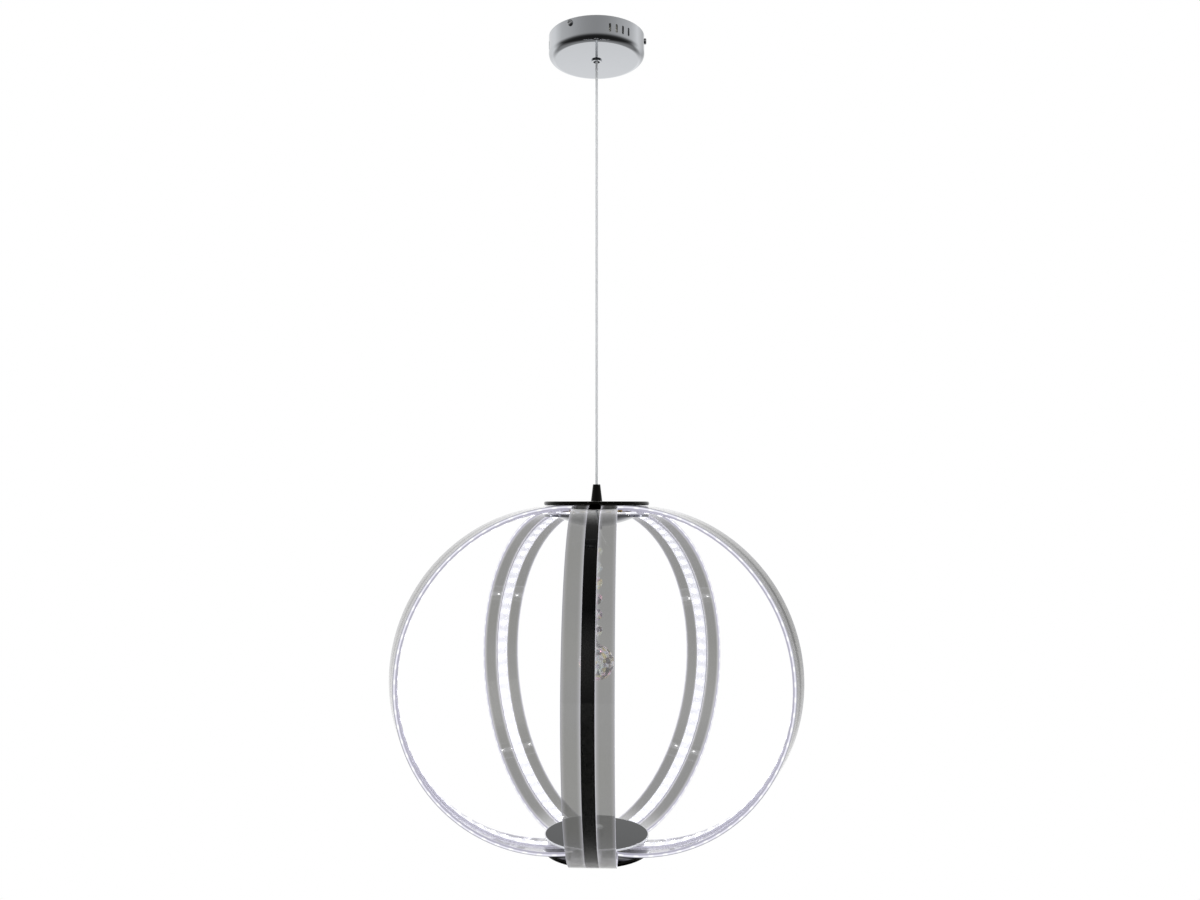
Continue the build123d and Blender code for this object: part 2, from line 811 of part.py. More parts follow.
# S-hook through the eye of the finial
eye_low_z = eye_z - eye_radius
hook_top_z = eye_low_z + eye_wire_radius + hook_wire_radius + link_gap
hook_upper_z = hook_top_z - hook_loop_radius
hook_lower_z = hook_upper_z - 2 * hook_loop_radius
with BuildPart() as s_hook:
    with BuildLine(Plane.XZ) as hook_path:
        CenterArc((0, hook_upper_z), hook_loop_radius, 270 - hook_turn, hook_turn)
        CenterArc((0, hook_lower_z), hook_loop_radius, 90, -hook_turn)
    hook_line = hook_path.wire()
    with BuildSketch(Plane(hook_line @ 0, z_dir=hook_line % 0)):
        Circle(hook_wire_radius)
    sweep(path=hook_line)
save(s_hook, "s_hook")

# Crystal string: octagon beads joined by wire rings
first_ring_top_z = hook_lower_z - hook_loop_radius + hook_wire_radius + ring_wire_radius + link_gap
bead_step = 2 * ring_radius + 2 * bead_hole_offset
ring_heights = [first_ring_top_z - ring_radius - bead_step * index for index in range(bead_count + 1)]
bead_heights = [z - ring_radius - bead_hole_offset for z in ring_heights[:bead_count]]
with BuildPart() as bead_rings:
    with Locations(*[Plane((0, 0, z), z_dir=(1, 0, 0)) for z in ring_heights]):
        Torus(ring_radius, ring_wire_radius)
save(bead_rings, "bead_rings")

bead_profile = (
    (-bead_thickness / 2, bead_table_width),
    (-bead_edge_thickness / 2, bead_width),
    (bead_edge_thickness / 2, bead_width),
    (bead_thickness / 2, bead_table_width),
)


def octagon_bead(z):
    """A facetted octagon bead that faces -Y, with a hole near its top and its bottom edge."""
    with BuildPart() as bead:
        for depth, width in bead_profile:
            with BuildSketch(Plane((0, depth, z), x_dir=(1, 0, 0), z_dir=(0, 1, 0))):
                RegularPolygon(width / 2, bead_sides, major_radius=False, rotation=180 / bead_sides)
        loft(ruled=True)
        with BuildSketch(Plane((0, 0, z), x_dir=(1, 0, 0), z_dir=(0, 1, 0))):
            with Locations((0, -bead_hole_offset), (0, bead_hole_offset)):
                Circle(bead_hole_radius)
        extrude(amount=bead_thickness, both=True, mode=Mode.SUBTRACT)
    return bead


beads = [octagon_bead(z).part for z in bead_heights]
with BuildPart() as crystal_beads:
    add(beads)
save(crystal_beads, "crystal_beads")

# Crystal ball: rows of flat facets, bored at the top for its pin
last_ring_low_z = ring_heights[-1] - ring_radius
ball_eye_z = last_ring_low_z + ring_wire_radius + ball_eye_wire_radius + link_gap - ball_eye_radius
cap_top_z = ball_eye_z - ball_eye_radius + ball_eye_wire_radius / 2
cap_low_z = cap_top_z - ball_cap_height
row_angles = [radians(180 * (row + 0.5) / ball_rows) for row in range(ball_rows)]
ball_z = cap_low_z - ball_diameter / 2 * cos(row_angles[0])
with BuildPart() as crystal_ball:
    for row_angle in row_angles:
        with BuildSketch(Plane.XY.offset(ball_z + ball_diameter / 2 * cos(row_angle))):
            RegularPolygon(ball_diameter / 2 * sin(row_angle), ball_sides)
    loft(ruled=True)
    with BuildSketch(Plane.XY.offset(cap_low_z)):
        Circle(ball_pin_radius + ball_pin_clearance)
    extrude(amount=-ball_pin_length - thread_end_gap, mode=Mode.SUBTRACT)
save(crystal_ball, "crystal_ball")

with BuildPart() as ball_pin:
    with BuildSketch(Plane.XY.offset(cap_low_z)):
        Circle(ball_cap_radius)
    extrude(amount=ball_cap_height)
    fillet(ball_pin.edges().sort_by(Axis.Z)[-1], ball_cap_height / 2)
    with BuildSketch(Plane.XY.offset(cap_low_z)):
        Circle(ball_pin_radius)
    extrude(amount=-ball_pin_length)
    with Locations(Plane((0, 0, ball_eye_z), z_dir=(0, 1, 0))):
        Torus(ball_eye_radius, ball_eye_wire_radius)
save(ball_pin, "ball_pin")
print(f"swing {swing_z:.2f}, rock {rock_z:.2f}, turn {hub_top_z:.2f}")
print(f"eye {eye_z:.2f}, hook {hook_lower_z:.2f}")
print(f"lowest point {hub_bottom_z:.1f}, ball centre {ball_z:.1f}")
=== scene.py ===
# %% [markdown]
# # A globe pendant light
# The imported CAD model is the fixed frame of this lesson. It holds every hard piece of the lamp in
# metres, with the middle of the canopy on the ceiling as the origin and +Z up. Everything made
# below is placed in that same frame, so nothing has to be fitted by eye.

# %% Load the frame
from math import cos, hypot, pi, radians, sin

import bpy
from mathutils import Matrix, Vector


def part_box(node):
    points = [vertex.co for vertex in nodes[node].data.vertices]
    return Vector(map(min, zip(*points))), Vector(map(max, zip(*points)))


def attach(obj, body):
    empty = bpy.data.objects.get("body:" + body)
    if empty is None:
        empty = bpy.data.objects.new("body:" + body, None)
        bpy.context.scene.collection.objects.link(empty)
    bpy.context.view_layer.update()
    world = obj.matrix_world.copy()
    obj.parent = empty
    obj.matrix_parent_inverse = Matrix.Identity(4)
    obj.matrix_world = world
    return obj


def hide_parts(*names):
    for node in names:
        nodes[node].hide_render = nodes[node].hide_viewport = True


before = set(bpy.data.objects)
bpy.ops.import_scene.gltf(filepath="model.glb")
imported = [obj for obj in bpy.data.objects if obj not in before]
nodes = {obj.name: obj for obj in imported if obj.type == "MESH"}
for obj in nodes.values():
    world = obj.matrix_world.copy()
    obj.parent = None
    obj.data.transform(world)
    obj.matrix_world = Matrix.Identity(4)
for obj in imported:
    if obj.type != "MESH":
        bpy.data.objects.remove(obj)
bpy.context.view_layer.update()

# %% [markdown]
# ## Sizes
# The pieces that are modelled here repeat the sizes of the CAD source: the globe is a half circle
# bent from a flat band, with a short straight tab at each end, five times round the axis. The
# boxes of the nodes give the heights, so only the sizes that a box can't show are written down.

# %% Sizes of the globe
MM = 0.001
band_count = 5
front_direction = -90.0
band_radius = 210 * MM
band_centre = 40 * MM
band_width = 54 * MM
band_thickness = 5 * MM
tab_end_radius = 14 * MM
tab_gap = 1 * MM
half_pitch = pi / band_count
band_low, band_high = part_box("acrylic_band_1")
band_mid_z = (band_low.z + band_high.z) / 2
band_angles = [front_direction + 360 / band_count * index for index in range(band_count)]
print("globe from", round(band_low.z, 4), "to", round(band_high.z, 4), "bands at", band_angles)

# %% [markdown]
# ## Camera
# The photograph looks at the lamp level with its top disc, from a little more than a metre. The
# lens is fixed by the globe's perspective: the front band looks as wide as it does because it is
# nearer than the axis. The frame is shifted, not tilted, so that upright lines stay upright. The
# shifts and the focal length are in pixels of the photograph.

# %% Camera
photo_width = 1200
focal_pixels = 997
view_distance = 1.2314
view_azimuth = 2.1
view_height = -0.574
horizon_below_middle = 53
axis_left_of_middle = 3.4
sensor_width = 36

camera_data = bpy.data.cameras.new("camera")
camera_data.sensor_width = sensor_width
camera_data.lens = sensor_width * focal_pixels / photo_width
camera_data.shift_x = axis_left_of_middle / photo_width
camera_data.shift_y = horizon_below_middle / photo_width
camera_data.clip_start = 0.01
camera = bpy.data.objects.new("camera", camera_data)
bpy.context.scene.collection.objects.link(camera)
swing = radians(view_azimuth)
camera.location = (view_distance * sin(swing), -view_distance * cos(swing), view_height)
camera.rotation_euler = (pi / 2, 0, swing)
bpy.context.scene.camera = camera
bpy.context.scene.view_settings.view_transform = "Standard"
print("lens", round(camera_data.lens, 2), "mm")

# %% [markdown]
# ## Node helpers
# The studio and the finishes are small node trees. Written out in full, each would be a page of
# links, so a few short helpers add a node, join it and give back the output that the next one
# needs.


# %% Helpers for node trees
def add_node(tree, kind, inputs=None, **settings):
    """Adds a node, sets it, and joins or fills its inputs."""
    node = tree.nodes.new("ShaderNode" + kind)
    for setting, value in settings.items():
        setattr(node, setting, value)
    for socket, value in (inputs or {}).items():
        if isinstance(value, bpy.types.NodeSocket):
            tree.links.new(value, node.inputs[socket])
        else:
            node.inputs[socket].default_value = value
    return node


def compute(tree, operation, first, second=0.0):
    """One step of arithmetic."""
    return add_node(tree, "Math", {0: first, 1: second}, operation=operation).outputs[0]


def vector_step(tree, operation, inputs):
    """One step of vector arithmetic, which gives a number or a vector."""
    result = "Value" if operation in ("LENGTH", "DOT_PRODUCT") else "Vector"
    return add_node(tree, "VectorMath", inputs, operation=operation).outputs[result]


def stretch(tree, value, low, high, from_low=0.0, from_high=1.0):
    """Maps a value from one range to another and stops at the ends."""
    limits = {"From Min": from_low, "From Max": from_high, "To Min": low, "To Max": high}
    return add_node(tree, "MapRange", {"Value": value, **limits}).outputs[0]


def tone_ramp(tree, share, *stops):
    """A colour that runs through stops, each a share and a tone."""
    ramp = add_node(tree, "ValToRGB", {"Fac": share})
    elements = ramp.color_ramp.elements
    for element, (position, tone) in ((elements[0], stops[0]), (elements[-1], stops[-1])):
        element.position = position
        element.color = (*tone, 1)
    for position, tone in stops[1:-1]:
        elements.new(position).color = (*tone, 1)
    return ramp.outputs["Color"]


def blend_colours(tree, share, first, second):
    """A colour between two, by a share."""
    return tone_ramp(tree, share, (0.0, first), (1.0, second))


def pick(tree, share, first, second):
    """The first colour where a share is 0, the second where it is 1."""
    return add_node(tree, "Mix", {0: share, 6: first, 7: second}, data_type="RGBA").outputs[2]


def object_place(tree):
    """The place on the piece, in the lamp's own metres."""
    return add_node(tree, "TexCoord").outputs["Object"]


def noise(tree, scale, detail=3.0, roughness=0.5, place=None):
    """Soft noise at a number of features a metre."""
    settings = {"Scale": scale, "Detail": detail, "Roughness": roughness}
    where = {"Vector": place or object_place(tree)}
    return add_node(tree, "TexNoise", {**where, **settings}).outputs["Fac"]


def axis_distance(tree, place):
    """How far a place lies from the lamp's axis, and its direction in the plane of the ceiling."""
    parts = add_node(tree, "SeparateXYZ", {"Vector": place}).outputs
    flat = add_node(tree, "CombineXYZ", {"X": parts["X"], "Y": parts["Y"]}).outputs[0]
    return vector_step(tree, "LENGTH", {0: flat}), flat


# %% [markdown]
# ## Studio
# The picture behind the lamp is plain white, and the side of the room where the camera stands is
# darker. Polished metal shows both. So the world is white for every ray that looks straight or
# through glass at it, and a glossy ray meets a room that falls from white behind the lamp to grey
# behind the camera. That room is darker at both sides behind the lamp, most on the right, and
# straight below. It is nearly black at the ceiling and on the ground by the camera. A painted
# backdrop would do the same, but the world needs no extra pieces. The floor is where a floor is,
# 2.4 m below the ceiling, and two soft boxes light the lamp from above.

# %% World
wall_greys = ((0.0, 0.29), (0.25, 0.46), (0.5, 0.57), (0.7, 0.82), (0.88, 1.0))
ground_shade = 0.12
ceiling_shade = 0.2
below_shade = 0.3
side_shade = 0.5
left_share = 0.4
falling_light = (0.96, 0.98, 1, 1)
falling_strength = 0.6


def seen_share(tree):
    """1 where a camera, glossy or transmitted ray arrives, 0 for the light that falls on things."""
    rays = add_node(tree, "LightPath").outputs
    direct = compute(tree, "MAXIMUM", rays["Is Camera Ray"], rays["Is Glossy Ray"])
    return compute(tree, "MAXIMUM", direct, rays["Is Transmission Ray"])


def room_tone(tree):
    """What polished metal sees: white behind the lamp, grey behind the camera, dark at its feet.

    Each part is 1 where the room keeps its tone, and falls to its shade where the room is dark."""
    direction = add_node(tree, "TexCoord").outputs["Generated"]
    look = add_node(tree, "SeparateXYZ", {"Vector": direction}).outputs
    depth = stretch(tree, look["Y"], 0.0, 1.0, -1.0, 1.0)
    walls = tone_ramp(tree, depth, *[(share, (grey, grey, grey)) for share, grey in wall_greys])
    near_side = stretch(tree, look["Y"], 1.0, 0.0, 0.0, 0.5)
    low = stretch(tree, look["Z"], 1.0, 0.0, -0.3, 0.25)
    ground = stretch(tree, compute(tree, "MULTIPLY", near_side, low), 1.0, ground_shade)
    ceiling = stretch(tree, look["Z"], 1.0, ceiling_shade, 0.5, 0.8)
    below = stretch(tree, look["Z"], below_shade, 1.0, -0.6, -0.35)
    right = stretch(tree, look["X"], 0.0, 1.0, 0.1, 0.5)
    left = stretch(tree, look["X"], left_share, 0.0, -0.5, -0.1)
    behind = stretch(tree, look["Y"], 0.0, 1.0, 0.4, 0.8)
    beside = compute(tree, "ADD", right, left)
    shade = stretch(tree, compute(tree, "MULTIPLY", beside, behind), 1.0, side_shade)
    for part in (ground, ceiling, below):
        shade = compute(tree, "MULTIPLY", shade, part)
    return vector_step(tree, "SCALE", {0: walls, "Scale": shade})


world = bpy.data.worlds.new("studio")
world.use_nodes = True
bpy.context.scene.world = world
tree = world.node_tree
glossy = add_node(tree, "LightPath").outputs["Is Glossy Ray"]
room = pick(tree, glossy, (1, 1, 1, 1), room_tone(tree))
seen = add_node(tree, "Background", {"Color": room, "Strength": 1.0}).outputs[0]
light = {"Color": falling_light, "Strength": falling_strength}
falling = add_node(tree, "Background", light).outputs[0]
either = add_node(tree, "MixShader", {0: seen_share(tree), 1: falling, 2: seen}).outputs[0]
tree.links.new(either, tree.nodes["World Output"].inputs["Surface"])

# %% Floor
floor_z = -2.4
floor_size = 60
shadow_radius = 0.8
white_radius = 3.0
foot_whiteness = 0.9
bpy.ops.object.select_all(action="DESELECT")
bpy.ops.mesh.primitive_plane_add(size=floor_size, location=(0, 0, floor_z))
floor = bpy.context.object
floor.name = "floor"
pale = bpy.data.materials.new("pale_floor")
pale.use_nodes = True
tree = pale.node_tree
paint = tree.nodes["Principled BSDF"]
paint.inputs["Base Color"].default_value = (0.9, 0.9, 0.9, 1)
paint.inputs["Roughness"].default_value = 0.9
distance = vector_step(tree, "LENGTH", {0: object_place(tree)})
whiteness = stretch(tree, distance, foot_whiteness, 1.0, shadow_radius, white_radius)
glow_share = compute(tree, "MULTIPLY", seen_share(tree), whiteness)
glow = add_node(tree, "Emission", {"Strength": 1.0}).outputs[0]
blend = add_node(tree, "MixShader", {0: glow_share, 1: paint.outputs[0], 2: glow}).outputs[0]
tree.links.new(blend, tree.nodes["Material Output"].inputs["Surface"])
floor.data.materials.append(pale)
floor.visible_glossy = False


# %% Soft lamps
def soft_lamp(name, place, aim, size, power):
    """A square soft box that points at a place and doesn't show in the chrome."""
    data = bpy.data.lights.new(name, "AREA")
    data.size = size
    data.energy = power
    lamp = bpy.data.objects.new(name, data)
    bpy.context.scene.collection.objects.link(lamp)
    lamp.location = place
    lamp.rotation_euler = (Vector(aim) - Vector(place)).to_track_quat("-Z", "Y").to_euler()
    lamp.visible_glossy = False


middle = (0, 0, band_mid_z)
soft_lamp("key_lamp", place=(-1.5, -1.4, 0.9), aim=middle, size=1.4, power=26)
soft_lamp("fill_lamp", place=(1.9, -0.9, 0.2), aim=middle, size=1.2, power=14)
print("studio with", len(bpy.data.lights), "lamps")

# %% [markdown]
# ## Cable
# A lamp like this hangs on one thin cable that also feeds it: two fine white cores twisted inside
# a clear sheath. It carries the globe's weight, so it is dead straight. The sheath is a curve with
# a round bevel, because a curve keeps its length exact. The cores are a second curve that winds
# round the same line, read back from it point by point.

# %% Route of the cable
cable_radius = 1.5 * MM
cable_low, cable_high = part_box("suspension_cable")
straight_lead = 12 * cable_radius
nose_room = 0.6 * MM
route = [
    (0, 0, cable_high.z),
    (0, 0, cable_high.z - straight_lead),
    (0, 0, cable_low.z + straight_lead),
    (0, 0, cable_low.z + nose_room),
]
route_resolution = 24
point_radius = 0.01


def line_curve(name, points, radius, resolution):
    """An open NURBS curve through control points, with a round bevel.

    Blender adds the points' own radius to a curve's box, so it is small and the bevel large."""
    curve = bpy.data.curves.new(name, "CURVE")
    curve.dimensions = "3D"
    spline = curve.splines.new("NURBS")
    spline.points.add(len(points) - 1)
    for point, place in zip(spline.points, points):
        point.co = (*place, 1)
        point.radius = point_radius
    spline.order_u = 3
    spline.use_endpoint_u = True
    spline.resolution_u = resolution
    curve.bevel_depth = radius / point_radius
    curve.bevel_resolution = 4
    curve.use_fill_caps = radius > 0
    piece = bpy.data.objects.new(name, curve)
    bpy.context.scene.collection.objects.link(piece)
    return piece


def read_route(points, resolution):
    """The points that a curve with no bevel passes through."""
    line = line_curve("route", points, 0, resolution)
    mesh = bpy.data.meshes.new_from_object(line)
    places = [vertex.co.copy() for vertex in mesh.vertices]
    bpy.data.meshes.remove(mesh)
    bpy.data.curves.remove(line.data)
    return places


cable_sheath = line_curve("cable_sheath", route, cable_radius, route_resolution)
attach(cable_sheath, "cord")
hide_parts("suspension_cable")

# %% Twisted cores in the sheath
core_radius = 0.6 * MM
core_offset = 0.62 * MM
core_lay = 11 * MM
core_steps = 8
core_resolution = 2
line_points = read_route(route, route_resolution)
top, bottom = line_points[0].z, line_points[-1].z
turns = int((top - bottom) / core_lay)
cable_cores = []
for number, start in ((1, 0), (2, pi)):
    winding = []
    for step in range(turns * core_steps + 1):
        height = top + step / (turns * core_steps) * (bottom - top)
        angle = start + 2 * pi * step / core_steps
        winding.append((core_offset * cos(angle), core_offset * sin(angle), height))
    core = line_curve(f"cable_core_{number}", winding, core_radius, core_resolution)
    core.data.bevel_resolution = core_resolution
    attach(core, "cord")
    cable_cores.append(core)

# %% [markdown]
# ## Finishes
# Each finish is a small node tree on the Principled shader. Patterns read Object coordinates, which
# are the lamp's own metres, so a pattern keeps its real scale and stays on its piece when a joint
# moves.


# %% Helpers for the finishes
def start_finish(name, **shader):
    """A new material and its tree, with constant values set on the shader's own sockets."""
    material = bpy.data.materials.new(name)
    material.use_nodes = True
    tree = material.node_tree
    for socket, value in shader.items():
        target = tree.nodes["Principled BSDF"].inputs[socket.replace("_", " ")]
        target.default_value = (*value, 1) if isinstance(value, tuple) else value
    return material, tree


def shader_input(tree, socket, output):
    """Joins an output to a socket of the Principled shader."""
    tree.links.new(output, tree.nodes["Principled BSDF"].inputs[socket])


def raise_bump(tree, height, distance, strength=1.0):
    """Feeds a height to the shader's normal, as a bump of a real depth in metres."""
    bump = add_node(tree, "Bump", {"Height": height, "Distance": distance, "Strength": strength})
    shader_input(tree, "Normal", bump.outputs[0])


def dress(material, *names):
    """Gives a finish to CAD nodes."""
    for name in names:
        nodes[name].data.materials.clear()
        nodes[name].data.materials.append(material)


# %% [markdown]
# ### Metals
# The canopy, its bushing and the cap nut are bright chrome. The dome and its finial are chrome in a
# darker tone, and the S-hook is wire darkened the same way: both darker tones are painted dark
# reflections. The discs and the cone are black chrome, a mirror that gives back only a little of
# what it sees. The bottom cover is a smoked mirror between the two, and its cut rim is polished
# bright. Real plating is never quite even, so fingerprints and polishing marks vary the roughness,
# and the colour only a little.


# %% Plated metals
polish_scale = 900.0
polish_depth = 0.01 * MM


def plated(name, tone, tone_spread, gloss, gloss_spread, marks=55.0):
    """Polished plating: an even tone, with soft smudges that change its gloss."""
    material, tree = start_finish(name, Metallic=1.0)
    place = object_place(tree)
    smudge = noise(tree, marks, 4.0, 0.6, place)
    darker = tuple(value * (1 - tone_spread) for value in tone)
    shader_input(tree, "Base Color", blend_colours(tree, smudge, darker, tone))
    shader_input(tree, "Roughness", stretch(tree, smudge, gloss, gloss + gloss_spread, 0.35, 0.75))
    raise_bump(tree, noise(tree, polish_scale, 2.0, 0.5, place), polish_depth, 0.15)
    return material


bright_chrome = plated("bright_chrome", (0.68, 0.7, 0.73), 0.04, 0.03, 0.06)
black_chrome = plated("black_chrome", (0.018, 0.018, 0.016), 0.2, 0.03, 0.05)
# Painted dark reflection: the dome, its finial and the S-hook get a darker tone than bright
# plating.
dark_reflection_chrome = plated("dark_reflection_chrome", (0.27, 0.275, 0.3), 0.08, 0.03, 0.06)
bright_wire = plated("bright_wire", (0.7, 0.7, 0.72), 0.06, 0.06, 0.1, 220.0)
dark_reflection_wire = plated("dark_reflection_wire", (0.06, 0.06, 0.065), 0.2, 0.06, 0.1, 220.0)
brass = plated("turned_brass", (0.82, 0.6, 0.26), 0.15, 0.16, 0.15, 160.0)
dress(bright_chrome, "canopy_cup", "cap_nut", "cable_bushing")
dress(dark_reflection_chrome, "dome_cover", "hook_finial")
dress(black_chrome, "grip_cone", "top_disc", "bottom_disc")
dress(bright_wire, "bead_rings", "ball_pin")
dress(dark_reflection_wire, "s_hook")
dress(brass, "top_tab_screws", "bottom_tab_screws")


# %% Smoked cover with a polished rim
cover_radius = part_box("bottom_cover")[1].x
rim_start = 1.2 * MM
rim_full = 0.8 * MM


def smoked_cover():
    """A smoked mirror whose cut rim is polished bright."""
    material, tree = start_finish("smoked_cover", Specular_Tint=(0.75, 0.75, 0.75))
    place = object_place(tree)
    smudge = noise(tree, 55.0, 4.0, 0.6, place)
    smoke = blend_colours(tree, smudge, (0.05, 0.052, 0.055), (0.06, 0.063, 0.066))
    reach, _ = axis_distance(tree, place)
    rim = stretch(tree, reach, 0.0, 1.0, cover_radius - rim_start, cover_radius - rim_full)
    shader_input(tree, "Base Color", pick(tree, rim, smoke, (0.82, 0.82, 0.86, 1)))
    shader_input(tree, "Metallic", stretch(tree, rim, 1.0, 0.0))
    shader_input(tree, "Roughness", stretch(tree, smudge, 0.04, 0.1, 0.35, 0.75))
    return material


dress(smoked_cover(), "bottom_cover")


# %% Zinc-plated steel
def zinc_steel():
    """Bright zinc on steel: a crystalline spangle with a brushed direction."""
    material, tree = start_finish("zinc_steel", Metallic=1.0)
    place = object_place(tree)
    spangle = add_node(tree, "TexVoronoi", {"Vector": place, "Scale": 420.0}).outputs["Color"]
    flake = add_node(tree, "SeparateColor", {"Color": spangle}).outputs[0]
    tones = blend_colours(tree, flake, (0.5, 0.51, 0.52), (0.66, 0.67, 0.68))
    shader_input(tree, "Base Color", tones)
    squeezed = add_node(tree, "Mapping", {"Vector": place, "Scale": (1, 1, 24)}).outputs[0]
    brushed = noise(tree, 300.0, 3.0, 0.5, squeezed)
    shader_input(tree, "Roughness", stretch(tree, brushed, 0.22, 0.42))
    return material


dress(
    zinc_steel(),
    "ceiling_plate", "bushing_nut", "hub_nut", "hub_spacer", "bottom_spacer", "threaded_nipple",
    "centre_bolt", "canopy_side_screws", "driver_screws", "terminal_screw", "cable_ball",
)

# %% [markdown]
# ### Plastics
# Inside the canopy sit a white driver, a cream terminal block and white leads. Moulded plastic
# shows a fine spark-eroded grain, PVC a softer one, and nylon a slightly waxy mottle. The cores of
# the cable are the same kind of plastic, under the clear sheath.


# %% Moulded plastics and leads
def moulded(name, tone, tone_spread, gloss, grain_scale, grain_depth):
    """Plastic with a mottled tone and a fine moulded grain."""
    material, tree = start_finish(name)
    place = object_place(tree)
    mottle = noise(tree, 90.0, 3.0, 0.5, place)
    darker = tuple(value * (1 - tone_spread) for value in tone)
    shader_input(tree, "Base Color", blend_colours(tree, mottle, darker, tone))
    shader_input(tree, "Roughness", stretch(tree, mottle, gloss, gloss + 0.12))
    raise_bump(tree, noise(tree, grain_scale, 2.0, 0.6, place), grain_depth, 0.5)
    return material


dress(moulded("driver_case", (0.8, 0.81, 0.81), 0.05, 0.42, 1800.0, 0.04 * MM), "led_driver")
dress(moulded("cream_nylon", (0.76, 0.74, 0.65), 0.06, 0.38, 1200.0, 0.03 * MM), "terminal_block")
dress(moulded("crimp_sleeve", (0.7, 0.66, 0.52), 0.08, 0.35, 900.0, 0.03 * MM), "lead_splices")
dress(
    moulded("white_pvc", (0.8, 0.8, 0.78), 0.05, 0.3, 700.0, 0.02 * MM),
    "mains_lead", "output_lead", "strip_leads",
)
dress(
    moulded("natural_nylon", (0.78, 0.78, 0.74), 0.05, 0.4, 1000.0, 0.02 * MM),
    "top_tab_washers", "bottom_tab_washers",
)


# %% Cable finishes
def clear_pvc():
    """The clear sheath, with slight flow marks along it."""
    material, tree = start_finish("clear_pvc", IOR=1.45, Transmission_Weight=0.35)
    flow = noise(tree, 220.0, 2.0, 0.5)
    tones = blend_colours(tree, flow, (0.86, 0.87, 0.88), (0.93, 0.94, 0.95))
    shader_input(tree, "Base Color", tones)
    shader_input(tree, "Roughness", stretch(tree, flow, 0.08, 0.2))
    return material


cable_sheath.data.materials.append(clear_pvc())
core_plastic = moulded("core_plastic", (0.8, 0.82, 0.83), 0.05, 0.4, 900.0, 0.01 * MM)
for core in cable_cores:
    core.data.materials.append(core_plastic)

# %% [markdown]
# ## Acrylic bands
# Each band is a strip of 5 mm acrylic, bent hot round a form into a half circle. It could be swept
# along a curve, but a spin of its section is closer to how it is made: the section is one face,
# the spin is the bend, and the tabs are extruded from the two end faces. The tips are then cut to
# a point, and all sharp edges get the small polished chamfer that catches the LED light.


# %% One band, in the plane of X and Z
bend_steps = 152
bend_middle = (band_centre, 0, band_mid_z)
bend_axis = (0, -1, 0)


def select_faces(mesh, wanted):
    """Selects the faces for which a test holds. Run it in object mode."""
    for edge in mesh.edges:
        edge.select = False
    for vertex in mesh.vertices:
        vertex.select = False
    for face in mesh.polygons:
        face.select = wanted(face)


def make_band():
    """A band at angle 0: its bend starts above the hub and runs out along +X."""
    bpy.ops.object.select_all(action="DESELECT")
    bpy.ops.mesh.primitive_plane_add(size=1, rotation=(0, pi / 2, 0))
    band = bpy.context.object
    bpy.ops.object.transform_apply(rotation=True)
    bpy.ops.object.mode_set(mode="EDIT")
    bpy.ops.mesh.select_all(action="SELECT")
    bpy.ops.transform.resize(value=(1, band_width, band_thickness))
    section_z = band_mid_z + band_radius - band_thickness / 2
    bpy.ops.transform.translate(value=(band_centre, 0, section_z))
    bpy.ops.mesh.spin(steps=bend_steps, angle=pi, center=bend_middle, axis=bend_axis)
    bpy.ops.mesh.select_all(action="SELECT")
    bpy.ops.mesh.remove_doubles(threshold=1e-6)
    bpy.ops.object.mode_set(mode="OBJECT")
    return band


first_band = make_band()
reach = max(vertex.co.x for vertex in first_band.data.vertices)
print("bent band", len(first_band.data.vertices), "points, reach", round(reach, 4))

# %% Tabs, points and chamfers of the band
edge_chamfer = 0.45 * MM
sharp_angle = radians(30)
smooth_angle = radians(20)


def finish_band(band):
    """Extrudes the tabs, cuts the points and chamfers the edges."""
    ends = band_centre + MM
    select_faces(band.data, lambda face: abs(face.normal.x) > 0.99 and face.center.x < ends)
    bpy.ops.object.mode_set(mode="EDIT")
    bpy.ops.mesh.select_mode(type="FACE")
    tab = {"value": (tab_end_radius - band_centre, 0, 0)}
    bpy.ops.mesh.extrude_region_move(TRANSFORM_OT_translate=tab)
    wedge_apex = tab_gap / 2 / sin(half_pitch)
    for side in (1, -1):
        bpy.ops.mesh.select_all(action="SELECT")
        bpy.ops.mesh.bisect(
            plane_co=(wedge_apex, 0, 0),
            plane_no=(-sin(half_pitch), side * cos(half_pitch), 0),
            use_fill=True,
            clear_outer=True,
        )
    bpy.ops.mesh.select_all(action="SELECT")
    bpy.ops.mesh.normals_make_consistent(inside=False)
    bpy.ops.mesh.select_all(action="DESELECT")
    bpy.ops.mesh.select_mode(type="EDGE")
    bpy.ops.mesh.edges_select_sharp(sharpness=sharp_angle)
    bpy.ops.mesh.bevel(offset=edge_chamfer, segments=1, affect="EDGES")
    bpy.ops.object.mode_set(mode="OBJECT")
    bpy.ops.object.shade_smooth_by_angle(angle=smooth_angle)
    across = band.data.attributes.new("across", "FLOAT", "POINT")
    depth = band.data.attributes.new("depth", "FLOAT", "POINT")
    for vertex in band.data.vertices:
        out = max(vertex.co.x - band_centre, 0)
        radius = hypot(out, vertex.co.z - band_mid_z)
        across.data[vertex.index].value = vertex.co.y
        depth.data[vertex.index].value = 1 - (band_radius - radius) / band_thickness


finish_band(first_band)
print("finished band", len(first_band.data.polygons), "faces")

# %% [markdown]
# ### Acrylic finish
# The broad faces are clear with a smoke-grey cast, which thins out towards the hubs, over a shorter
# way at the bottom one. The LED strip feeds light into the sheet: a faint haze fills it beside the
# strip, and the inner face glows along the strip and along its borders. A sheen and a clear coat
# turn that face pale where it is seen at a flat angle. Most of the light comes out where the sheet
# ends, in lines along the narrow edges: lavender towards the inner face, a white line with a spot
# at each LED, then a thin dimmer line and a dark arris towards the outer face. Light scattered in a
# volume could make all of this, but it is slow and noisy. So the mesh carries two values, how far a
# point lies across the band and how deep in the sheet, and two finishes on one mesh read the lines
# from them.

# %% Places along the bend
led_count = 38
led_pitch_angle = pi / led_count


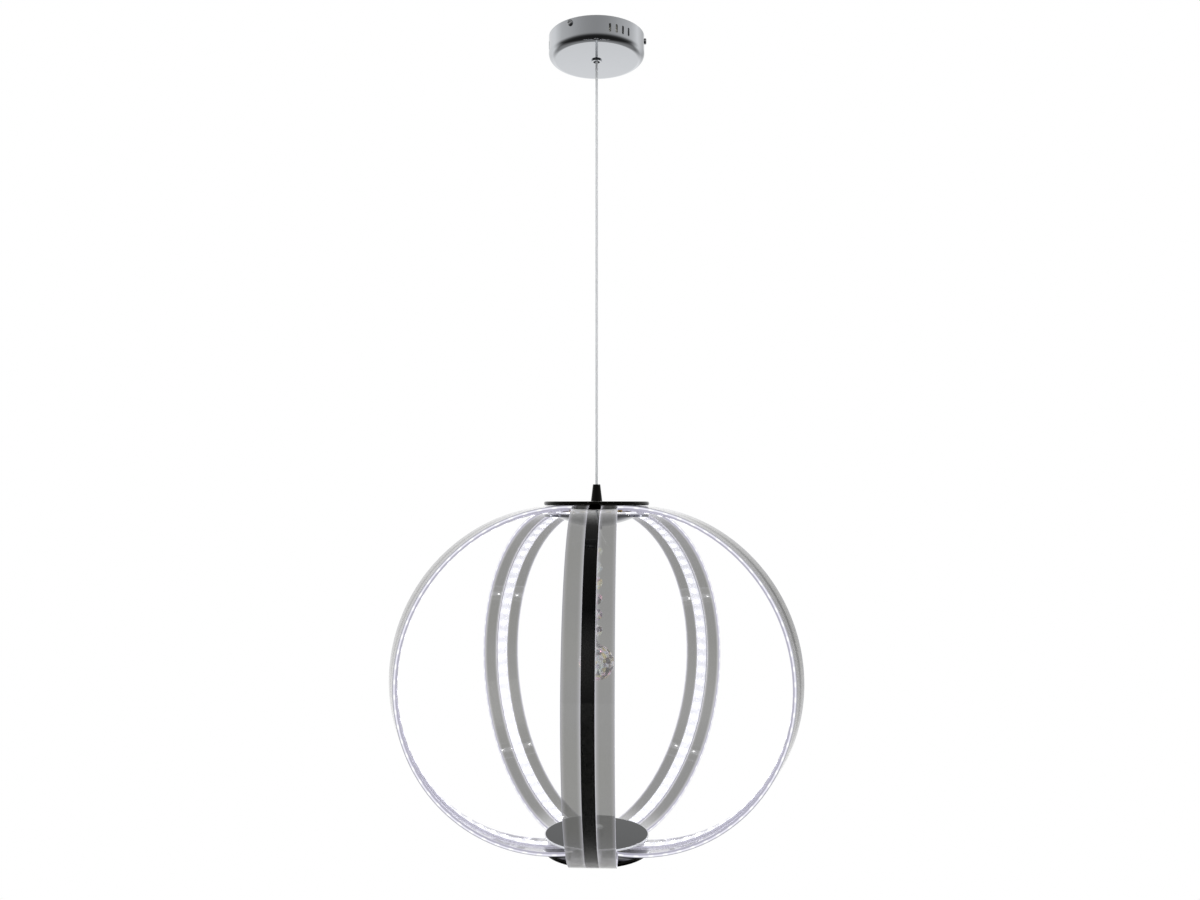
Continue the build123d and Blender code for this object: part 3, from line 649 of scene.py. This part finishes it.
def bend_place(tree, place):
    """Where a place lies in the plane of its band: out from the bend's centre, and up from it."""
    reach, flat = axis_distance(tree, place)
    out = compute(tree, "MAXIMUM", compute(tree, "SUBTRACT", reach, band_centre), 0.0)
    height = add_node(tree, "SeparateXYZ", {"Vector": place}).outputs["Z"]
    return out, compute(tree, "SUBTRACT", height, band_mid_z), flat


def led_wave(tree, out, up):
    """1 at each LED along the bend, -1 between two."""
    angle = compute(tree, "ARCTAN2", up, out)
    turn = compute(tree, "MULTIPLY", angle, 2 * pi / led_pitch_angle)
    return compute(tree, "COSINE", compute(tree, "ADD", turn, pi))


# %% Light in the sheet
strip_edge = 7.6 * MM
strip_fade = 0.6 * MM
halo_reach = 4.5 * MM
border = band_width / 2
border_reach = 5 * MM
haze_strength = 0.075
hub_haze_strength = 0.02


def band_attribute(tree, name):
    """A value that the band's mesh carries at its points."""
    return add_node(tree, "Attribute", attribute_name=name).outputs["Fac"]


def sheet_light(tree, clear):
    """The haze beside the strip, the glow along strip and borders, and the bare inner face."""
    beside = compute(tree, "ABSOLUTE", band_attribute(tree, "across"))
    bare = stretch(tree, beside, 0.0, 1.0, strip_edge - strip_fade, strip_edge)
    haze = compute(tree, "MULTIPLY", bare, stretch(tree, clear, haze_strength, hub_haze_strength))
    at_strip = stretch(tree, beside, 1.0, 0.0, strip_edge, strip_edge + halo_reach)
    at_border = stretch(tree, beside, 0.0, 1.0, border - border_reach, border)
    near = compute(tree, "ADD", compute(tree, "MULTIPLY", at_strip, bare), at_border)
    inner = stretch(tree, band_attribute(tree, "depth"), 1.0, 0.0, 0.1, 0.5)
    glow = compute(tree, "MULTIPLY", compute(tree, "MULTIPLY", near, near), inner)
    return haze, glow, compute(tree, "MULTIPLY", bare, inner)


# %% Acrylic finishes
acrylic_ior = 1.49
clear_radius = 85 * MM
smoke_radius = 135 * MM
bottom_shift = 22 * MM
glow_strength = 0.45
led_light = (0.92, 0.91, 1)
edge_lean = 0.3


def smoke_acrylic():
    """Broad faces: clear, with a smoke cast that thins out at the hubs, and the strip's light."""
    clear_sheet = {"IOR": acrylic_ior, "Transmission_Weight": 1.0}
    sheen = {"Sheen_Roughness": 0.35, "Sheen_Tint": (0.9, 0.88, 1)}
    material, tree = start_finish("smoke_acrylic", **clear_sheet, **sheen)
    place = object_place(tree)
    reach, _ = axis_distance(tree, place)
    _, up, _ = bend_place(tree, place)
    low = stretch(tree, up, bottom_shift, 0.0, -band_radius / 2, 0.0)
    clear = stretch(tree, compute(tree, "ADD", reach, low), 1.0, 0.0, clear_radius, smoke_radius)
    cast = noise(tree, 9.0, 2.0, 0.5, place)
    smoke = blend_colours(tree, cast, (0.185, 0.185, 0.172), (0.2, 0.2, 0.205))
    shader_input(tree, "Base Color", pick(tree, clear, smoke, (0.5, 0.5, 0.51, 1)))
    smears = noise(tree, 34.0, 4.0, 0.6, place)
    shader_input(tree, "Roughness", stretch(tree, smears, 0.0, 0.02, 0.4, 0.8))
    raise_bump(tree, noise(tree, 14.0, 1.0, 0.4, place), 0.2 * MM, 0.2)
    haze, glow, bare_inside = sheet_light(tree, clear)
    shader_input(tree, "Sheen Weight", bare_inside)
    shader_input(tree, "Coat Weight", bare_inside)
    warm = blend_colours(tree, cast, (0.96, 0.96, 0.9), (0.98, 0.98, 1))
    glow_share = stretch(tree, glow, 0.0, 1.0, 0.0, 0.3)
    shader_input(tree, "Emission Color", pick(tree, glow_share, warm, (*led_light, 1)))
    lit = compute(tree, "MULTIPLY", glow, glow_strength)
    shader_input(tree, "Emission Strength", compute(tree, "ADD", haze, lit))
    return material


def lit_edge():
    """Narrow faces: the light of the strip comes out here, in lines along the edge."""
    material, tree = start_finish("lit_edge", IOR=acrylic_ior, Emission_Strength=1.0)
    place = object_place(tree)
    streak = noise(tree, 60.0, 3.0, 0.5, place)
    tones = blend_colours(tree, streak, (0.08, 0.08, 0.09), (0.13, 0.13, 0.14))
    shader_input(tree, "Base Color", tones)
    shader_input(tree, "Roughness", stretch(tree, streak, 0.1, 0.3))
    depth = band_attribute(tree, "depth")
    lavender, white_line = (0.38, 0.37, 0.45), (0.8, 0.79, 0.88)
    outer_line, arris = (0.42, 0.42, 0.47), (0.2, 0.2, 0.22)
    inner_lines = ((0.4, lavender), (0.48, white_line), (0.74, white_line))
    outer_lines = ((0.8, outer_line), (0.92, outer_line), (0.97, arris))
    lines = tone_ramp(tree, depth, *inner_lines, *outer_lines)
    out, up, _ = bend_place(tree, place)
    spot = stretch(tree, led_wave(tree, out, up), 0.0, 1.0, 0.2, 0.9)
    black, white = (0, 0, 0), (1, 1, 1)
    spot_stops = ((0.36, black), (0.46, white), (0.74, white), (0.82, black))
    in_white_line = tone_ramp(tree, depth, *spot_stops)
    share = compute(tree, "MULTIPLY", spot, in_white_line)
    shader_input(tree, "Emission Color", pick(tree, share, lines, (1, 1, 1, 1)))
    return material


first_band.data.materials.append(smoke_acrylic())
first_band.data.materials.append(lit_edge())
for face in first_band.data.polygons:
    face.material_index = 1 if abs(face.normal.y) > edge_lean else 0


# %% Five bands round the axis
def copies_round(piece, name):
    """Five copies of a piece modelled at angle 0, each with its own mesh, turned in place."""
    made = []
    for number, angle in enumerate(band_angles, start=1):
        mesh = piece.data.copy()
        mesh.transform(Matrix.Rotation(radians(angle), 4, "Z"))
        copy = bpy.data.objects.new(f"{name}_{number}", mesh)
        bpy.context.scene.collection.objects.link(copy)
        made.append(copy)
    bpy.data.objects.remove(piece)
    return made


for number, band in enumerate(copies_round(first_band, "bent_band"), start=1):
    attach(band, "globe")
    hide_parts(f"acrylic_band_{number}")
print("five bands")

# %% [markdown]
# ## LED strips
# A strip is three layers: a mirror-black backing, a white board and square LED packages with a
# yellow phosphor window. A package is a cube whose inner face is inset and sunk, which is all that
# shows of it, and one spin with copies sets all of them along the bend.

# %% LED packages
chip_size = 5 * MM
chip_height = 1.5 * MM
chip_rim = 0.6 * MM
chip_sink = 0.25 * MM
chip_seat_depth = 7.25 * MM
chip_seat = band_radius - chip_seat_depth


def make_chips():
    """A half circle of LED packages at angle 0, facing the axis."""
    bpy.ops.object.select_all(action="DESELECT")
    first_angle = led_pitch_angle / 2
    middle_radius = chip_seat - chip_height / 2
    out, up = middle_radius * sin(first_angle), middle_radius * cos(first_angle)
    place = (band_centre + out, 0, band_mid_z + up)
    bpy.ops.mesh.primitive_cube_add(size=1)
    chip = bpy.context.object
    bpy.ops.object.mode_set(mode="EDIT")
    bpy.ops.mesh.select_all(action="SELECT")
    bpy.ops.transform.resize(value=(chip_size, chip_size, chip_height))
    bpy.ops.object.mode_set(mode="OBJECT")
    select_faces(chip.data, lambda face: face.normal.z < -0.9)
    bpy.ops.object.mode_set(mode="EDIT")
    bpy.ops.mesh.select_mode(type="FACE")
    bpy.ops.mesh.inset(thickness=chip_rim, depth=-chip_sink)
    bpy.ops.object.mode_set(mode="OBJECT")
    chip.data.materials.append(None)
    chip.data.materials.append(None)
    for face in chip.data.polygons:
        face.material_index = 1 if face.select else 0
    chip.data.transform(Matrix.Translation(place) @ Matrix.Rotation(first_angle, 4, "Y"))
    bpy.ops.object.mode_set(mode="EDIT")
    bpy.ops.mesh.select_all(action="SELECT")
    bpy.ops.mesh.spin(
        steps=led_count - 1,
        dupli=True,
        angle=led_pitch_angle * (led_count - 1),
        center=bend_middle,
        axis=bend_axis,
    )
    bpy.ops.object.mode_set(mode="OBJECT")
    return chip


first_chips = make_chips()
reach = max(vertex.co.x for vertex in first_chips.data.vertices)
print("packages", len(first_chips.data.polygons), "faces, reach", round(reach, 4))


# %% Finishes of the packages
phosphor_strength = 12.0


def chip_case():
    """The white rim of a package, lit by its own LED."""
    material, tree = start_finish("chip_case", Roughness=0.4, Emission_Color=(0.95, 0.95, 1))
    mottle = noise(tree, 500.0)
    tones = blend_colours(tree, mottle, (0.8, 0.8, 0.82), (0.9, 0.9, 0.92))
    shader_input(tree, "Base Color", tones)
    shader_input(tree, "Emission Strength", stretch(tree, mottle, 0.65, 0.9))
    return material


def phosphor():
    """The window of a package: cool white light through yellow phosphor."""
    material, tree = start_finish("phosphor", Roughness=0.3, Emission_Strength=phosphor_strength)
    mottle = noise(tree, 700.0)
    tones = blend_colours(tree, mottle, (0.85, 0.8, 0.5), (0.95, 0.92, 0.7))
    shader_input(tree, "Base Color", tones)
    shader_input(tree, "Emission Color", blend_colours(tree, mottle, (0.95, 0.95, 1), (1, 1, 1)))
    return material


first_chips.data.materials[0] = chip_case()
first_chips.data.materials[1] = phosphor()
for number, chips in enumerate(copies_round(first_chips, "led_packages"), start=1):
    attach(chips, "globe")
    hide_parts(f"led_chips_{number}")
print("five rows of", led_count, "packages")


# %% Finishes of the strips
outer_side = (0.4, 0.6)
inner_side = (-0.6, -0.4)
slit_strength = 2.0


def facing_out(tree, place):
    """1 on the faces of a strip that look out of the globe, 0 on its sides, -1 inside."""
    out, up, flat = bend_place(tree, place)
    away = vector_step(tree, "NORMALIZE", {0: flat})
    side = vector_step(tree, "SCALE", {0: away, "Scale": out})
    rise = add_node(tree, "CombineXYZ", {"Z": up}).outputs[0]
    from_centre = vector_step(tree, "ADD", {0: side, 1: rise})
    outward = vector_step(tree, "NORMALIZE", {0: from_centre})
    normal = add_node(tree, "TexCoord").outputs["Normal"]
    return vector_step(tree, "DOT_PRODUCT", {0: normal, 1: outward})


def strip_tones_and_shade(tree, place, facing, white_scale):
    """White where a strip looks in; darker lavender sides, painted shade tinted by LED light."""
    mottle = noise(tree, white_scale, 3.0, 0.5, place)
    white = blend_colours(tree, mottle, (0.78, 0.78, 0.82), (0.86, 0.86, 0.9))
    # Painted shade: the sides get a darker lavender tone of the LED light.
    sides = blend_colours(tree, mottle, (0.3, 0.29, 0.36), (0.38, 0.37, 0.45))
    return pick(tree, stretch(tree, facing, 1.0, 0.0, *inner_side), sides, white)


def strip_backing():
    """Black mirror outside, pale and lit inside where the LEDs shine on it."""
    material, tree = start_finish("strip_backing", Emission_Color=led_light)
    place = object_place(tree)
    facing = facing_out(tree, place)
    outside = stretch(tree, facing, 0.0, 1.0, *outer_side)
    smudge = noise(tree, 70.0, 4.0, 0.6, place)
    black = blend_colours(tree, smudge, (0.02, 0.02, 0.018), (0.026, 0.026, 0.022))
    pale = strip_tones_and_shade(tree, place, facing, 300.0)
    shader_input(tree, "Base Color", pick(tree, outside, pale, black))
    shader_input(tree, "Metallic", outside)
    shader_input(tree, "Roughness", stretch(tree, outside, 0.45, 0.03))
    inside = stretch(tree, facing, 0.5, 0.3, *inner_side)
    not_outside = stretch(tree, outside, 1.0, 0.0)
    shader_input(tree, "Emission Strength", compute(tree, "MULTIPLY", inside, not_outside))
    return material


def strip_board():
    """White board, painted LED glow: brighter by each LED, brightest in the slits by the backing.
    """
    material, tree = start_finish("strip_board", Roughness=0.5, Emission_Color=led_light)
    place = object_place(tree)
    facing = facing_out(tree, place)
    shader_input(tree, "Base Color", strip_tones_and_shade(tree, place, facing, 400.0))
    # Painted light: the glow beside each LED and in the slits is emission on the board.
    out, up, _ = bend_place(tree, place)
    beside_led = stretch(tree, led_wave(tree, out, up), 0.3, 0.45, -1.0, 1.0)
    inner = compute(tree, "MULTIPLY", beside_led, stretch(tree, facing, 1.0, 0.4, *inner_side))
    slit = stretch(tree, facing, 0.0, slit_strength, *outer_side)
    shader_input(tree, "Emission Strength", compute(tree, "ADD", inner, slit))
    return material


dress(strip_backing(), *[f"led_backing_{number}" for number in range(1, band_count + 1)])
dress(strip_board(), *[f"led_board_{number}" for number in range(1, band_count + 1)])

# %% [markdown]
# ## Crystal
# The string is cut glass with a thin iridescent coat, which gives part of the pink and yellow
# flashes; painted glints in pink, gold and lavender glow in the facets, and other facets carry
# painted dark shade. The beads keep their CAD shape. The ball gets a richer cut: a sphere of rings
# in which every second ring is turned by half a facet, so that the facets become triangles, as on a
# cut crystal ball.

# %% Cut of the ball
ball_low, ball_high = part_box("crystal_ball")
ball_sides = 16
ball_rings = 10


def make_ball():
    """A facetted ball that fills the CAD ball's width."""
    radius = (ball_high.x - ball_low.x) / 2
    bpy.ops.object.select_all(action="DESELECT")
    bpy.ops.mesh.primitive_uv_sphere_add(segments=ball_sides, ring_count=ball_rings, radius=radius)
    ball = bpy.context.object
    heights = sorted({round(vertex.co.z, 6) for vertex in ball.data.vertices})
    turned = set(heights[1:-1:2])
    half_facet = pi / ball_sides
    for vertex in ball.data.vertices:
        if round(vertex.co.z, 6) in turned:
            vertex.co.rotate(Matrix.Rotation(half_facet, 3, "Z"))
    bpy.ops.object.mode_set(mode="EDIT")
    bpy.ops.mesh.select_all(action="SELECT")
    bpy.ops.mesh.quads_convert_to_tris(quad_method="SHORTEST_DIAGONAL")
    middle_z = (ball_low.z + ball_high.z) / 2
    squash = (ball_high.z - ball_low.z) / (2 * radius)
    bpy.ops.transform.resize(value=(1, 1, squash))
    bpy.ops.transform.translate(value=(0, 0, middle_z))
    bpy.ops.object.mode_set(mode="OBJECT")
    ball.name = "cut_ball"
    return ball


cut_ball = make_ball()
print("ball", len(cut_ball.data.polygons), "facets")


# %% Crystal finish
def crystal_glass():
    """Colourless crystal with a thin film, glowing painted glints in its facets and painted shade.
    """
    film = {"Thin_Film_Thickness": 420.0, "Thin_Film_IOR": 1.9}
    glass = {"Roughness": 0.0, "IOR": 1.58, "Transmission_Weight": 1.0, "Emission_Strength": 0.45}
    material, tree = start_finish("crystal_glass", **glass, **film)
    glint_cells = add_node(tree, "TexVoronoi", {"Vector": object_place(tree), "Scale": 190.0})
    share = add_node(tree, "SeparateColor", {"Color": glint_cells.outputs["Color"]}).outputs[0]
    # Painted light: pink, gold, lavender and clear cells are painted glints that also glow; shade
    # cells are painted shade.
    pink_glint, clear, lavender = (0.95, 0.55, 0.75), (0.97, 0.97, 1), (0.72, 0.7, 0.95)
    shade, gold_glint = (0.04, 0.04, 0.05), (1, 0.8, 0.3)
    pale = ((0.1, pink_glint), (0.22, clear), (0.4, lavender))
    deep = ((0.5, shade), (0.62, shade), (0.72, gold_glint), (0.82, clear))
    facets = tone_ramp(tree, share, *pale, *deep)
    shader_input(tree, "Base Color", facets)
    shader_input(tree, "Emission Color", facets)
    return material


crystal = crystal_glass()
cut_ball.data.materials.append(crystal)
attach(cut_ball, "crystal")
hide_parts("crystal_ball")
dress(crystal, "crystal_beads")
